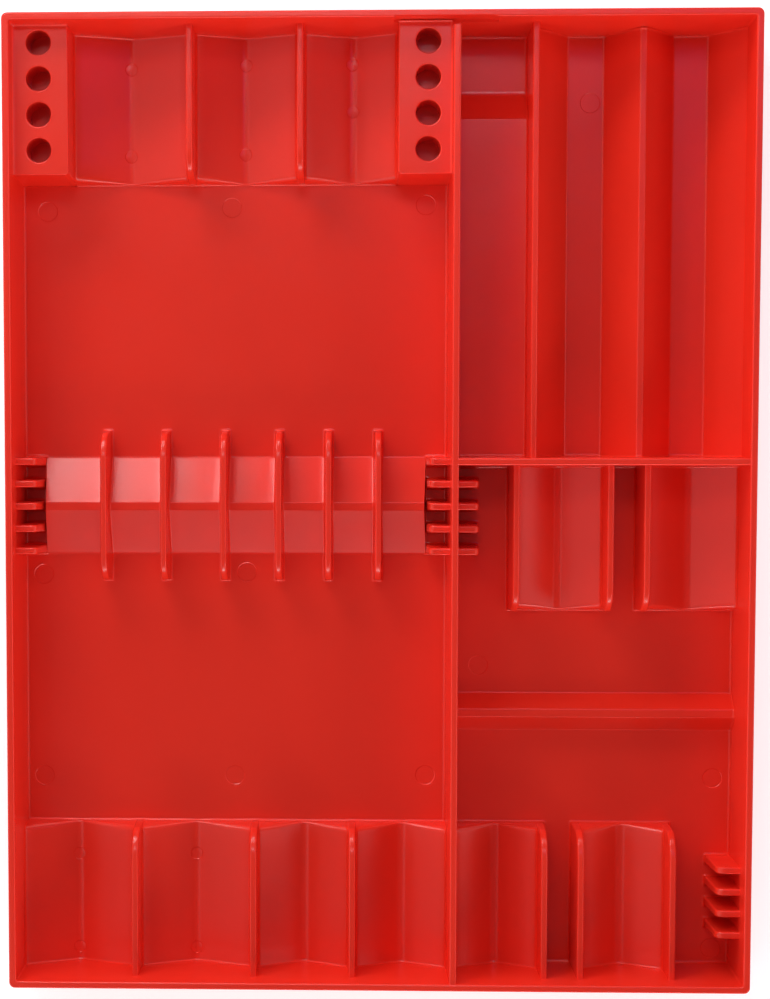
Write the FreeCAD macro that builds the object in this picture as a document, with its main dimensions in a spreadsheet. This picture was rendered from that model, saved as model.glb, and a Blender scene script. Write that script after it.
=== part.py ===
import FreeCAD, Part
import os
import re
import Sketcher

# A drawer tray that holds screwdrivers and their bits, moulded in one plastic and drawn here section
# by section: the shell with its floor and four walls, three dividers, blocks with holes for bits,
# rows of cradles with ribs between them, a saddle under crossing ribs, and combs of teeth.
# The tray lies flat. X runs to its right, Y to its rear, Z up, and the origin is under its middle.

# Driving sizes, in millimetres. Places are worked out from the outer left and front faces of the rim.
SIZES = {
    # The shell: walls of one thickness that lean out towards the rim
    "tray_width": 305.0,
    "tray_length": 398.0,
    "tray_height": 38.0,
    "floor_thick": 2.8,
    "wall_thick": 2.9,
    "side_wall_lean": 0.4,
    "end_wall_lean": 1.7,
    "outer_corner_radius": 2.4,
    "inner_corner_radius": 0.8,
    "rim_radius": 0.8,
    "base_radius": 1.0,
    # The shallow recess in the rear wall, over the right bit block and the end of the centre divider
    "recess_start": 158.0,
    "recess_width": 42.0,
    "recess_depth": 0.6,
    "recess_ramp": 2.8,
    "notch_length": 2.9,
    # Plates: thickness at the top, lean of a side for each mm of height, and roundings
    "divider_thick": 2.85,
    "divider_drop": 0.5,
    "rib_thick": 2.65,
    "tooth_thick": 2.8,
    "shaft_rib_thick": 2.5,
    "rib_draft": 0.021,
    "plate_edge_radius": 0.8,
    "plate_nose_radius": 11.5,
    # Heights over the floor
    "support_height": 25.8,
    "shaft_rib_height": 20.0,
    # The centre divider's place
    "left_bay_width": 179.05,
    # Blocks with holes for bits
    "left_block_width": 23.2,
    "right_block_width": 22.5,
    "block_length": 62.4,
    "block_face_lean": 1.6,
    "block_corner_radius": 1.6,
    "block_edge_radius": 0.6,
    "bit_hole_radius": 5.0,
    "bit_hole_depth": 15.0,
    "bit_hole_pitch": 14.4,
    "bit_holes": 4,
    "rear_hole_inset": 7.6,
    "left_hole_inset": 10.65,
    "right_hole_inset": 9.88,
    # Rows of cradles: each is a bed with a valley along it
    "cradle_face_slope": 0.15,
    "rib_face_lean": 0.9,
    "cradle_edge_radius": 0.5,
    "valley_radius": 5.0,
    "rear_row_length": 62.0,
    "rear_bed_height": 8.2,
    "rear_valley_height": 0.8,
    "front_row_length": 61.9,
    "front_bed_height": 10.2,
    "front_valley_height": 1.2,
    "middle_row_length": 62.4,
    "middle_bed_height": 9.2,
    # Rear row: widths as shares of the space between the blocks, valleys as shares of their cradle
    "rear_bay_left_share": 0.3562,
    "rear_bay_middle_share": 0.3183,
    "rear_valley_left_share": 0.4906,
    "rear_valley_middle_share": 0.4853,
    "rear_valley_right_share": 0.5275,
    # Front row: widths as shares of the left bay
    "front_bay_first_share": 0.2636,
    "front_bay_second_share": 0.2603,
    "front_bay_third_share": 0.215,
    "front_valley_first_share": 0.4852,
    "front_valley_second_share": 0.4925,
    "front_valley_third_share": 0.5117,
    "front_valley_fourth_share": 0.5052,
    # Front row of the right bay, in its left corner: widths as shares of the right bay
    "corner_bay_left_share": 0.3009,
    "corner_gap_share": 0.1057,
    "corner_bay_right_share": 0.3001,
    "corner_valley_left_share": 0.4929,
    "corner_valley_right_share": 0.4957,
    # Row in front of the cross divider: widths as shares of the right bay
    "middle_clear_share": 0.194,
    "middle_bay_left_share": 0.3052,
    "middle_gap_share": 0.1053,
    "middle_valley_left_share": 0.4916,
    "middle_valley_right_share": 0.4785,
    # Combs of teeth
    "comb_start": 177.9,
    "comb_pitch": 9.22,
    "comb_teeth": 5,
    "comb_length": 9.4,
    "tooth_lean": 0.8,
    "tooth_nose_radius": 2.0,
    "wall_tooth_nose_radius": 3.5,
    "wall_comb_start": 19.2,
    "wall_comb_pitch": 9.05,
    "wall_comb_teeth": 4,
    "wall_comb_length": 10.7,
    # The saddle between the combs of the left bay, and the ribs that cross it
    "saddle_front_margin": 2.1,
    "saddle_rear_margin": 1.7,
    "saddle_end_lean": 1.0,
    "saddle_front_run": 18.7,
    "saddle_crest": 3.15,
    "saddle_height": 11.2,
    "saddle_edge_radius": 0.9,
    "shaft_rib_reach": 11.1,
    "shaft_rib_lean": 1.2,
    # Places of the shaft ribs, as shares of the left bay
    "first_shaft_rib_share": 0.1983,
    "shaft_pitch_wide_share": 0.1389,
    "shaft_pitch_middle_share": 0.1276,
    "shaft_pitch_narrow_share": 0.1156,
    # The ridge across the right bay
    "cross_ridge_start": 101.5,
    "cross_ridge_front_run": 6.2,
    "cross_ridge_crest": 3.4,
    "cross_ridge_rear_run": 5.9,
    "cross_ridge_height": 8.0,
    "ridge_edge_radius": 0.7,
    # Pocket and channels in the rear of the right bay: widths as shares of it
    "pocket_width_share": 0.2506,
    "channel_ramp_run_share": 0.1168,
    "channel_floor_share": 0.1279,
    "channel_ridge_foot_share": 0.2438,
    "channel_ramp_height": 15.7,
    "channel_ridge_top": 2.4,
    "channel_ridge_height": 15.7,
    "pocket_well": 25.3,
    "pocket_ramp": 10.8,
    "pocket_step_height": 6.0,
}

doc = FreeCAD.newDocument("screwdriver_tray")
sheet = doc.addObject("Spreadsheet::Sheet", "Sizes")
for row, (size_name, size) in enumerate(SIZES.items(), start=1):
    sheet.set(f"A{row}", size_name)
    sheet.set(f"B{row}", str(size))
    sheet.setAlias(f"B{row}", size_name)
doc.recompute()

UPRIGHT = FreeCAD.Rotation(FreeCAD.Vector(1, 1, 1), 120)
NEAR = 1e-4
# The most that a rounding takes: of a plate's thickness, of its height at a nose, of a valley's height
RIM_SHARE = 0.4
NOSE_SHARE = 0.5
LIP_SHARE = 0.6
nodes = []


# Helpers that tie shapes to the sheet
def link(text):
    """The expression, with each size name pointing at its cell."""
    return re.sub(r"[a-z]\w*", lambda word: "Sizes." * (word[0] in SIZES) + word[0], str(text))


def value(text):
    """What an expression comes to now."""
    return float(sheet.evalExpression(link(text)))


def bind(thing, texts):
    """Each property of the thing follows its expression."""
    for name, text in texts.items():
        thing.setExpression(name, link(text))


def new_body(name, start_x="0", start_y="0"):
    """An empty body, placed so that it is drawn from the rim's outer left and front faces."""
    body = doc.addObject("PartDesign::Body", name + "_body")
    bind(body, {
        "Placement.Base.x": f"{start_x} - tray_width / 2",
        "Placement.Base.y": f"{start_y} - tray_length / 2",
    })
    return body


def wedge(body, name, foot, head, bottom, top, kind="PartDesign::AdditiveWedge"):
    """A block with level ends, each given as (left, right, front, rear)."""
    block = body.newObject(kind, name)
    block.Placement = FreeCAD.Placement(FreeCAD.Vector(), UPRIGHT)
    bind(block, {
        "Zmin": foot[0], "Zmax": foot[1], "Xmin": foot[2], "Xmax": foot[3],
        "Z2min": head[0], "Z2max": head[1], "X2min": head[2], "X2max": head[3],
        "Ymin": bottom, "Ymax": top,
    })
    doc.recompute()
    return block


def rounded(body, name, base, wanted, radius):
    """Rounds every edge of the base that is wanted."""
    edges = [f"Edge{i}" for i, edge in enumerate(base.Shape.Edges, start=1) if wanted(edge)]
    fillet = body.newObject("PartDesign::Fillet", name)
    fillet.Base = (base, edges)
    bind(fillet, {"Radius": radius})
    body.Tip = fillet
    doc.recompute()
    return fillet


def level_at(edge, height):
    """True for an edge that lies at one height."""
    box = edge.BoundBox
    return abs(box.ZMin - height) < NEAR and abs(box.ZMax - height) < NEAR


def climbs(edge):
    """True for an edge that goes up from one level to another."""
    return edge.BoundBox.ZLength > NEAR


def polygon(body, name, role, points):
    """A closed sketch through the points, each held by its own pair of expressions."""
    sketch = body.newObject("Sketcher::SketchObject", name)
    plane = next(part for part in body.Origin.OriginFeatures if part.Role == role)
    sketch.AttachmentSupport = [(plane, "")]
    sketch.MapMode = "FlatFace"
    corners = [FreeCAD.Vector(value(across), value(up), 0) for across, up in points]
    for corner, following in zip(corners, corners[1:] + corners[:1]):
        sketch.addGeometry(Part.LineSegment(corner, following))
    for i in range(len(corners)):
        sketch.addConstraint(Sketcher.Constraint("Coincident", i, 2, (i + 1) % len(corners), 1))
    for i, (across, up) in enumerate(points):
        for kind, text in (("DistanceX", across), ("DistanceY", up)):
            number = sketch.addConstraint(Sketcher.Constraint(kind, -1, 1, i, 1, value(text)))
            bind(sketch, {f"Constraints[{number}]": text})
    return sketch


def prism(name, along, start, end, points):
    """A body with one outline all along it: from left to right, or from front to rear."""
    if along == "x":
        body = new_body(name, start_x=start)
        sketch = polygon(body, name + "_outline", "YZ_Plane", points)
    else:
        body = new_body(name, start_y=start)
        sketch = polygon(body, name + "_outline", "XZ_Plane", points)
    pad = body.newObject("PartDesign::Pad", name + "_pad")
    pad.Profile = sketch
    pad.Reversed = along == "y"
    bind(pad, {"Length": f"{end} - ({start})"})
    body.Tip = pad
    doc.recompute()
    return body


def crest_rounded(body, name, along, height, radius):
    """Rounds the long edges of a prism that lie at one height."""
    def wanted(edge):
        box = edge.BoundBox
        return level_at(edge, value(height)) and (box.XLength if along == "x" else box.YLength) > NEAR
    rounded(body, name, body.Tip, wanted, radius)
    return body


def finished(thing, label):
    """Names the thing as a section of the tray."""
    thing.Label = label
    nodes.append(thing)
    return thing


def trimmed(form, *neighbours):
    """The form less what it meets, so that the two touch face to face."""
    for neighbour in neighbours:
        cut = doc.addObject("Part::Cut", form.Name + "_trimmed")
        cut.Base = form
        cut.Tool = neighbour
        form = cut
    doc.recompute()
    return form


# Places that several sections share
INNER_LEFT = INNER_FRONT = "wall_thick"
INNER_RIGHT = "(tray_width - wall_thick)"
INNER_REAR = "(tray_length - wall_thick)"
IN_LEFT_WALL = "((wall_thick + side_wall_lean) / 2)"
IN_RIGHT_WALL = "(tray_width - (wall_thick + side_wall_lean) / 2)"
IN_FRONT_WALL = "((wall_thick + end_wall_lean) / 2)"
IN_REAR_WALL = "(tray_length - (wall_thick + end_wall_lean) / 2)"
FLOOR = "floor_thick"
SUPPORT_TOP = "(floor_thick + support_height)"
SHAFT_RIB_TOP = "(floor_thick + shaft_rib_height)"
DIVIDER_TOP = "(tray_height - divider_drop)"
CENTRE_LEFT = "(wall_thick + left_bay_width)"
CENTRE_MIDDLE = f"({CENTRE_LEFT} + divider_thick / 2)"
CENTRE_RIGHT = f"({CENTRE_LEFT} + divider_thick)"
CROSS_MIDDLE = "(wall_thick + comb_start + (comb_teeth - 1) * comb_pitch)"
CROSS_REAR = f"({CROSS_MIDDLE} + divider_thick / 2)"
LEFT_BAY = "left_bay_width"
RIGHT_BAY = f"({INNER_RIGHT} - {CENTRE_RIGHT})"
CHANNEL_LEFT = f"({CENTRE_RIGHT} + pocket_width_share * {RIGHT_BAY})"
CHANNEL_MIDDLE = f"({CHANNEL_LEFT} + rib_thick / 2)"
CHANNEL_RIGHT = f"({CHANNEL_LEFT} + rib_thick)"

# The shell, in one piece: an outer block less an inner one, with round corners and a round rim
shell = new_body("shell")
outer = wedge(
    shell, "shell_outer",
    foot=("side_wall_lean", "tray_width - side_wall_lean", "end_wall_lean", "tray_length - end_wall_lean"),
    head=("0", "tray_width", "0", "tray_length"), bottom="0", top="tray_height")
outer = rounded(shell, "shell_corners", outer, climbs, "outer_corner_radius")
rounded(shell, "shell_base", outer, lambda edge: level_at(edge, 0), "base_radius")
inner = wedge(
    shell, "shell_inner",
    foot=("wall_thick + side_wall_lean", "tray_width - wall_thick - side_wall_lean",
          "wall_thick + end_wall_lean", "tray_length - wall_thick - end_wall_lean"),
    head=(INNER_LEFT, INNER_RIGHT, INNER_FRONT, INNER_REAR),
    bottom=FLOOR, top="tray_height", kind="PartDesign::SubtractiveWedge")


def inner_upright(edge):
    """True for the four corners of the hollow."""
    foot_height = value(FLOOR)
    return climbs(edge) and abs(edge.BoundBox.ZMin - foot_height) < NEAR


inner = rounded(shell, "shell_inner_corners", inner, inner_upright, "inner_corner_radius")
rounded(shell, "shell_rim", inner, lambda edge: level_at(edge, value("tray_height")),
        f"min(rim_radius; wall_thick * {RIM_SHARE})")


def portion(label, left, right, front, rear, bottom, top):
    """The part of the shell inside a box."""
    box = doc.addObject("Part::Box", label + "_box")
    bind(box, {
        "Length": f"{right} - ({left})", "Width": f"{rear} - ({front})", "Height": f"{top} - ({bottom})",
        "Placement.Base.x": f"{left} - tray_width / 2", "Placement.Base.y": f"{front} - tray_length / 2",
        "Placement.Base.z": bottom,
    })
    common = doc.addObject("Part::Common", label + "_portion")
    common.Base = shell
    common.Tool = box
    doc.recompute()
    return common


# Floor and walls: the side walls run the whole length and hold the corners
side_foot = "(wall_thick + side_wall_lean)"
end_foot = "(wall_thick + end_wall_lean + inner_corner_radius)"
floor_plate = finished(
    portion("floor_plate", "0", "tray_width", "0", "tray_length", "0", FLOOR), "floor_plate")
left_wall = finished(
    portion("left_wall", "0", side_foot, "0", "tray_length", FLOOR, "tray_height"), "left_wall")
right_wall = finished(
    portion("right_wall", f"tray_width - {side_foot}", "tray_width", "0", "tray_length", FLOOR,
            "tray_height"), "right_wall")
front_wall = finished(
    portion("front_wall", side_foot, f"tray_width - {side_foot}", "0", end_foot, FLOOR,
            "tray_height"), "front_wall")
rear_form = portion("rear_wall", side_foot, f"tray_width - {side_foot}", f"tray_length - {end_foot}",
                    "tray_length", FLOOR, "tray_height")
recess = new_body("recess")
recess_end = "(recess_start + recess_width)"
recess_front = f"{INNER_REAR} - end_wall_lean - inner_corner_radius"
recess_back = f"{INNER_REAR} + recess_depth"
recess_outline = polygon(recess, "recess_outline", "XY_Plane", (
    ("recess_start", recess_front), (recess_end, recess_front),
    (recess_end, INNER_REAR), (f"{recess_end} - recess_ramp", recess_back), ("recess_start", recess_back)))
recess_pad = recess.newObject("PartDesign::Pad", "recess_pad")
recess_pad.Profile = recess_outline
bind(recess_pad, {"Length": "tray_height"})
bind(recess, {"Placement.Base.z": SUPPORT_TOP})
doc.recompute()
rear_wall = finished(trimmed(rear_form, recess), "rear_wall")


def plate(name, run, start, end, middle, thick, top, free=(), lean="0", nose="plate_nose_radius"):
    """A plate that stands on the floor and gets thinner upwards. Its free ends lean back, their upper
    corners are rounded by the nose, and then both broad faces are rounded all along their rim."""
    draft = f"rib_draft * ({top} - floor_thick)"
    foot_across = (f"{middle} - {thick} / 2 - {draft}", f"{middle} + {thick} / 2 + {draft}")
    head_across = (f"{middle} - {thick} / 2", f"{middle} + {thick} / 2")
    foot_along = (start, end)
    head_along = (f"{start} + {lean}" if "start" in free else start,
                  f"{end} - {lean}" if "end" in free else end)
    foot = foot_across + foot_along if run == "y" else foot_along + foot_across
    head = head_across + head_along if run == "y" else head_along + head_across
    body = new_body(name)
    solid = wedge(body, name + "_wedge", foot, head, FLOOR, top)

    def low_and_high(edge):
        box = edge.BoundBox
        return (box.YMin, box.YMax) if run == "y" else (box.XMin, box.XMax)

    def nose_edge(edge):
        low, high = low_and_high(edge)
        at_free_end = ("start" in free and high < value(head_along[0]) + NEAR) or (
            "end" in free and low > value(head_along[1]) - NEAR)
        return level_at(edge, value(top)) and at_free_end

    if free:
        solid = rounded(body, name + "_nose", solid, nose_edge, f"min({nose}; support_height * {NOSE_SHARE})")
    broad = sorted(solid.Shape.Faces, key=lambda face: face.Area)[-2:]

    def rim_edge(edge):
        low, high = low_and_high(edge)
        at_blunt_end = ("start" not in free and high < value(start) + NEAR) or (
            "end" not in free and low > value(end) - NEAR)
        on_broad_face = any(edge.isSame(other) for face in broad for other in face.Edges)
        return on_broad_face and not at_blunt_end and not level_at(edge, value(FLOOR))

    rounded(body, name + "_rim", solid, rim_edge, f"min(plate_edge_radius; {thick} * {RIM_SHARE})")
    return body


# Dividers: the centre one steps down at its rear end, level with the recess
centre_form = plate("centre_divider", "y", IN_FRONT_WALL, IN_REAR_WALL, CENTRE_MIDDLE,
                    "divider_thick", DIVIDER_TOP)
notch = doc.addObject("Part::Box", "notch")
bind(notch, {
    "Length": "divider_thick * 2", "Width": "notch_length + end_wall_lean + wall_thick",
    "Height": "tray_height",
    "Placement.Base.x": f"{CENTRE_MIDDLE} - divider_thick - tray_width / 2",
    "Placement.Base.y": f"{INNER_REAR} - notch_length - tray_length / 2",
    "Placement.Base.z": SUPPORT_TOP,
})
centre_divider = finished(trimmed(centre_form, front_wall, rear_wall, notch), "centre_divider")
cross_form = plate("cross_divider", "x", CENTRE_MIDDLE, IN_RIGHT_WALL, CROSS_MIDDLE,
                   "divider_thick", DIVIDER_TOP)
cross_divider = finished(trimmed(cross_form, centre_divider, right_wall), "cross_divider")
channel_form = plate("channel_divider", "y", CROSS_MIDDLE, IN_REAR_WALL, CHANNEL_MIDDLE,
                     "rib_thick", SUPPORT_TOP)
channel_divider = finished(trimmed(channel_form, cross_divider, rear_wall), "channel_divider")


def bit_block(name, left, right, free_side, hole_x):
    """A block against the rear wall and a side, with a row of blind holes in its top."""
    front = f"({INNER_REAR} - block_length)"
    draft = "rib_draft * support_height"
    head_left = f"{left} + {draft}" if free_side == "left" else left
    head_right = f"{right} - {draft}" if free_side == "right" else right
    body = new_body(name)
    solid = wedge(
        body, name + "_wedge", (left, right, front, IN_REAR_WALL),
        (head_left, head_right, f"{front} + block_face_lean", IN_REAR_WALL), FLOOR, SUPPORT_TOP)
    free_x = value(right if free_side == "right" else left)

    def on_free_side(edge):
        box = edge.BoundBox
        return min(abs(box.XMin - free_x), abs(box.XMax - free_x)) < value(draft) + NEAR and (
            box.XLength < value(draft) + NEAR)

    def free_corner(edge):
        return climbs(edge) and on_free_side(edge) and edge.BoundBox.YMin < value(front) + NEAR

    solid = rounded(body, name + "_corner", solid, free_corner, "block_corner_radius")
    hole = body.newObject("PartDesign::SubtractiveCylinder", name + "_hole")
    bind(hole, {
        "Radius": "bit_hole_radius", "Height": "bit_hole_depth", "Placement.Base.x": hole_x,
        "Placement.Base.y": f"{INNER_REAR} - rear_hole_inset - (bit_holes - 1) * bit_hole_pitch",
        "Placement.Base.z": f"{SUPPORT_TOP} - bit_hole_depth",
    })
    doc.recompute()
    row = body.newObject("PartDesign::LinearPattern", name + "_holes")
    row.Originals = [hole]
    row.Direction = (next(part for part in body.Origin.OriginFeatures if part.Role == "Y_Axis"), [""])
    bind(row, {"Length": "(bit_holes - 1) * bit_hole_pitch", "Occurrences": "bit_holes"})
    body.Tip = row
    doc.recompute()
    blunt_x = value(left if free_side == "right" else right)
    blunt_y = value(IN_REAR_WALL)

    def open_edge(edge):
        box = edge.BoundBox
        at_blunt_side = abs(box.XMin - blunt_x) < NEAR and box.XLength < NEAR
        at_blunt_end = abs(box.YMax - blunt_y) < NEAR and box.YLength < NEAR
        return level_at(edge, value(SUPPORT_TOP)) and not at_blunt_side and not at_blunt_end

    rounded(body, name + "_edges", row, open_edge, "block_edge_radius")
    return body


left_block_edge = "(wall_thick + left_block_width)"
left_bit_block = finished(trimmed(
    bit_block("left_bit_block", IN_LEFT_WALL, left_block_edge, "right", "wall_thick + left_hole_inset"),
    left_wall, rear_wall), "left_bit_block")
right_block_edge = f"({CENTRE_LEFT} - right_block_width)"
right_bit_block = finished(trimmed(
    bit_block("right_bit_block", right_block_edge, CENTRE_MIDDLE, "left",
              f"{CENTRE_LEFT} - right_hole_inset"),
    centre_divider, rear_wall), "right_bit_block")


def cradle(name, left, right, valley, free_edge, held_edge, bed, valley_height):
    """A bed between two ribs, with a free end that leans back and a valley along it, whose place is a
    share of the bed's width."""
    from_left = f"({left} - rib_thick / 2)"
    to_right = f"({right} + rib_thick / 2)"
    lean = f"cradle_face_slope * {bed}"
    free_in_front = value(free_edge) < value(held_edge)
    front, rear = (free_edge, held_edge) if free_in_front else (held_edge, free_edge)
    head_front = f"{front} + {lean}" if free_in_front else front
    head_rear = rear if free_in_front else f"{rear} - {lean}"
    body = new_body(name)
    wedge(body, name + "_wedge", (from_left, to_right, front, rear),
          (from_left, to_right, head_front, head_rear), FLOOR, f"floor_thick + {bed}")
    above = f"floor_thick + {bed} * 2"
    outline = polygon(body, name + "_valley", "XZ_Plane", (
        (f"{left} + {valley} * ({right} - {left})", f"floor_thick + {valley_height}"),
        (to_right, f"floor_thick + {bed}"), (to_right, above),
        (from_left, above), (from_left, f"floor_thick + {bed}")))
    pocket = body.newObject("PartDesign::Pocket", name + "_pocket")
    pocket.Profile = outline
    pocket.SideType = "Symmetric"
    bind(pocket, {"Length": "tray_length * 2"})
    body.Tip = pocket
    doc.recompute()
    valley_level = value(f"floor_thick + {valley_height}")
    solid = rounded(body, name + "_valley_line", pocket,
                    lambda edge: level_at(edge, valley_level) and edge.BoundBox.YLength > NEAR,
                    "valley_radius")
    free_y = value(free_edge)
    reach = value(lean) + NEAR

    def free_lip(edge):
        box = edge.BoundBox
        near_free_end = max(abs(box.YMin - free_y), abs(box.YMax - free_y)) < reach
        return near_free_end and box.ZMin > value(FLOOR) + NEAR

    rounded(body, name + "_lip", solid, free_lip, f"min(cradle_edge_radius; {valley_height} * {LIP_SHARE})")
    return body


# Rear row of the left bay, between the two blocks
rear_row_front = f"({INNER_REAR} - rear_row_length)"
rear_space = f"({right_block_edge} - {left_block_edge})"
rear_rib_lefts = [f"({left_block_edge} + rear_bay_left_share * {rear_space})"]
rear_rib_lefts.append(f"({rear_rib_lefts[0]} + rib_thick + rear_bay_middle_share * {rear_space})")
rear_ribs = []
for number, rib_left in enumerate(rear_rib_lefts, start=1):
    form = plate(f"rear_rib_{number}", "y", rear_row_front, IN_REAR_WALL, f"({rib_left} + rib_thick / 2)",
                 "rib_thick", SUPPORT_TOP, free=("start",), lean="rib_face_lean")
    rear_ribs.append(finished(trimmed(form, rear_wall), f"rear_rib_{number}"))
rear_lefts = [left_block_edge] + [f"({rib_left} + rib_thick)" for rib_left in rear_rib_lefts]
rear_rights = rear_rib_lefts + [right_block_edge]
rear_valleys = ["rear_valley_left_share", "rear_valley_middle_share", "rear_valley_right_share"]
rear_sides = [left_bit_block] + rear_ribs + [right_bit_block]
for number, (left, right, valley) in enumerate(zip(rear_lefts, rear_rights, rear_valleys), start=1):
    form = cradle(f"rear_cradle_{number}", left, right, valley, rear_row_front, IN_REAR_WALL,
                  "rear_bed_height", "rear_valley_height")
    finished(trimmed(form, rear_wall, rear_sides[number - 1], rear_sides[number]),
             f"rear_cradle_{number}")

# Front row of the left bay, from the left wall to the centre divider
front_row_rear = "(wall_thick + front_row_length)"
front_bays = ["front_bay_first_share", "front_bay_second_share", "front_bay_third_share"]
front_lefts = [INNER_LEFT]
for bay in front_bays:
    front_lefts.append(f"({front_lefts[-1]} + {bay} * {LEFT_BAY} + rib_thick)")
front_rights = [f"({left} - rib_thick)" for left in front_lefts[1:]] + [CENTRE_LEFT]
front_ribs = []
for number, rib_left in enumerate(front_rights[:-1], start=1):
    form = plate(f"front_rib_{number}", "y", IN_FRONT_WALL, front_row_rear, f"({rib_left} + rib_thick / 2)",
                 "rib_thick", SUPPORT_TOP, free=("end",), lean="rib_face_lean")
    front_ribs.append(finished(trimmed(form, front_wall), f"front_rib_{number}"))
front_valleys = ["front_valley_first_share", "front_valley_second_share", "front_valley_third_share",
                 "front_valley_fourth_share"]
front_sides = [left_wall] + front_ribs + [centre_divider]
for number, (left, right, valley) in enumerate(zip(front_lefts, front_rights, front_valleys), start=1):
    form = cradle(f"front_cradle_{number}", left, right, valley, front_row_rear, IN_FRONT_WALL,
                  "front_bed_height", "front_valley_height")
    finished(trimmed(form, front_wall, front_sides[number - 1], front_sides[number]),
             f"front_cradle_{number}")

# Front row of the right bay: a cradle, a rib, a gap that stays open, and a cradle between two ribs
corner_rib_lefts = [f"({CENTRE_RIGHT} + corner_bay_left_share * {RIGHT_BAY})"]
for bay in ("corner_gap_share", "corner_bay_right_share"):
    corner_rib_lefts.append(f"({corner_rib_lefts[-1]} + rib_thick + {bay} * {RIGHT_BAY})")
corner_ribs = []
for number, rib_left in enumerate(corner_rib_lefts, start=1):
    form = plate(f"corner_rib_{number}", "y", IN_FRONT_WALL, front_row_rear, f"({rib_left} + rib_thick / 2)",
                 "rib_thick", SUPPORT_TOP, free=("end",), lean="rib_face_lean")
    corner_ribs.append(finished(trimmed(form, front_wall), f"corner_rib_{number}"))
form = cradle("corner_cradle_1", CENTRE_RIGHT, corner_rib_lefts[0], "corner_valley_left_share",
              front_row_rear, IN_FRONT_WALL, "front_bed_height", "front_valley_height")
finished(trimmed(form, front_wall, centre_divider, corner_ribs[0]), "corner_cradle_1")
form = cradle("corner_cradle_2", f"({corner_rib_lefts[1]} + rib_thick)", corner_rib_lefts[2],
              "corner_valley_right_share", front_row_rear, IN_FRONT_WALL, "front_bed_height",
              "front_valley_height")
finished(trimmed(form, front_wall, corner_ribs[1], corner_ribs[2]), "corner_cradle_2")

# Row in front of the cross divider: a clear space, a cradle between ribs, a gap, and a last cradle
middle_row_front = f"({CROSS_MIDDLE} - middle_row_length)"
middle_rib_lefts = [f"({CENTRE_RIGHT} + middle_clear_share * {RIGHT_BAY})"]
for bay in ("middle_bay_left_share", "middle_gap_share"):
    middle_rib_lefts.append(f"({middle_rib_lefts[-1]} + rib_thick + {bay} * {RIGHT_BAY})")
middle_ribs = []
for number, rib_left in enumerate(middle_rib_lefts, start=1):
    form = plate(f"middle_rib_{number}", "y", middle_row_front, CROSS_MIDDLE,
                 f"({rib_left} + rib_thick / 2)", "rib_thick", SUPPORT_TOP, free=("start",),
                 lean="rib_face_lean")
    middle_ribs.append(finished(trimmed(form, cross_divider), f"middle_rib_{number}"))
form = cradle("middle_cradle_1", f"({middle_rib_lefts[0]} + rib_thick)", middle_rib_lefts[1],
              "middle_valley_left_share", middle_row_front, CROSS_MIDDLE, "middle_bed_height",
              "front_valley_height")
finished(trimmed(form, cross_divider, middle_ribs[0], middle_ribs[1]), "middle_cradle_1")
form = cradle("middle_cradle_2", f"({middle_rib_lefts[2]} + rib_thick)", INNER_RIGHT,
              "middle_valley_right_share", middle_row_front, CROSS_MIDDLE, "middle_bed_height",
              "front_valley_height")
finished(trimmed(form, cross_divider, middle_ribs[2], right_wall), "middle_cradle_2")


def comb(label, start, end, free, teeth, first, pitch, nose, carrier):
    """A row of teeth that stand side by side on one wall or divider, each a plate across the tray."""
    forms = []
    for tooth in range(int(SIZES[teeth])):
        middle = f"(wall_thick + {first} + {tooth} * {pitch})"
        form = plate(f"{label}_{tooth + 1}", "x", start, end, middle, "tooth_thick", SUPPORT_TOP,
                     free=(free,), lean="tooth_lean", nose=nose)
        forms.append(form)
    row = doc.addObject("Part::Compound", label + "_row")
    row.Links = forms
    return finished(trimmed(row, carrier), label)


# Combs beside the centre divider and on the side walls
left_comb_tips = "(wall_thick + comb_length)"
centre_comb_tips = f"({CENTRE_LEFT} - comb_length)"
left_comb = comb("left_comb", IN_LEFT_WALL, left_comb_tips, "end", "comb_teeth", "comb_start",
                 "comb_pitch", "tooth_nose_radius", left_wall)
centre_left_comb = comb("centre_left_comb", centre_comb_tips, CENTRE_MIDDLE, "start", "comb_teeth",
                        "comb_start", "comb_pitch", "tooth_nose_radius", centre_divider)
right_wall_comb = comb("right_wall_comb", f"({INNER_RIGHT} - wall_comb_length)", IN_RIGHT_WALL, "start",
                       "wall_comb_teeth", "wall_comb_start", "wall_comb_pitch",
                       "wall_tooth_nose_radius", right_wall)

# On the other side of the centre divider, the cross divider stands where the last tooth would
centre_right_teeth = []
for tooth in range(int(SIZES["comb_teeth"]) - 1):
    centre_right_teeth.append(plate(
        f"centre_right_comb_{tooth + 1}", "x", CENTRE_MIDDLE, f"({CENTRE_RIGHT} + comb_length)",
        f"(wall_thick + comb_start + {tooth} * comb_pitch)", "tooth_thick", SUPPORT_TOP, free=("end",),
        lean="tooth_lean", nose="tooth_nose_radius"))
centre_right_row = doc.addObject("Part::Compound", "centre_right_comb_row")
centre_right_row.Links = centre_right_teeth
centre_right_comb = finished(trimmed(centre_right_row, centre_divider), "centre_right_comb")

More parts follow.
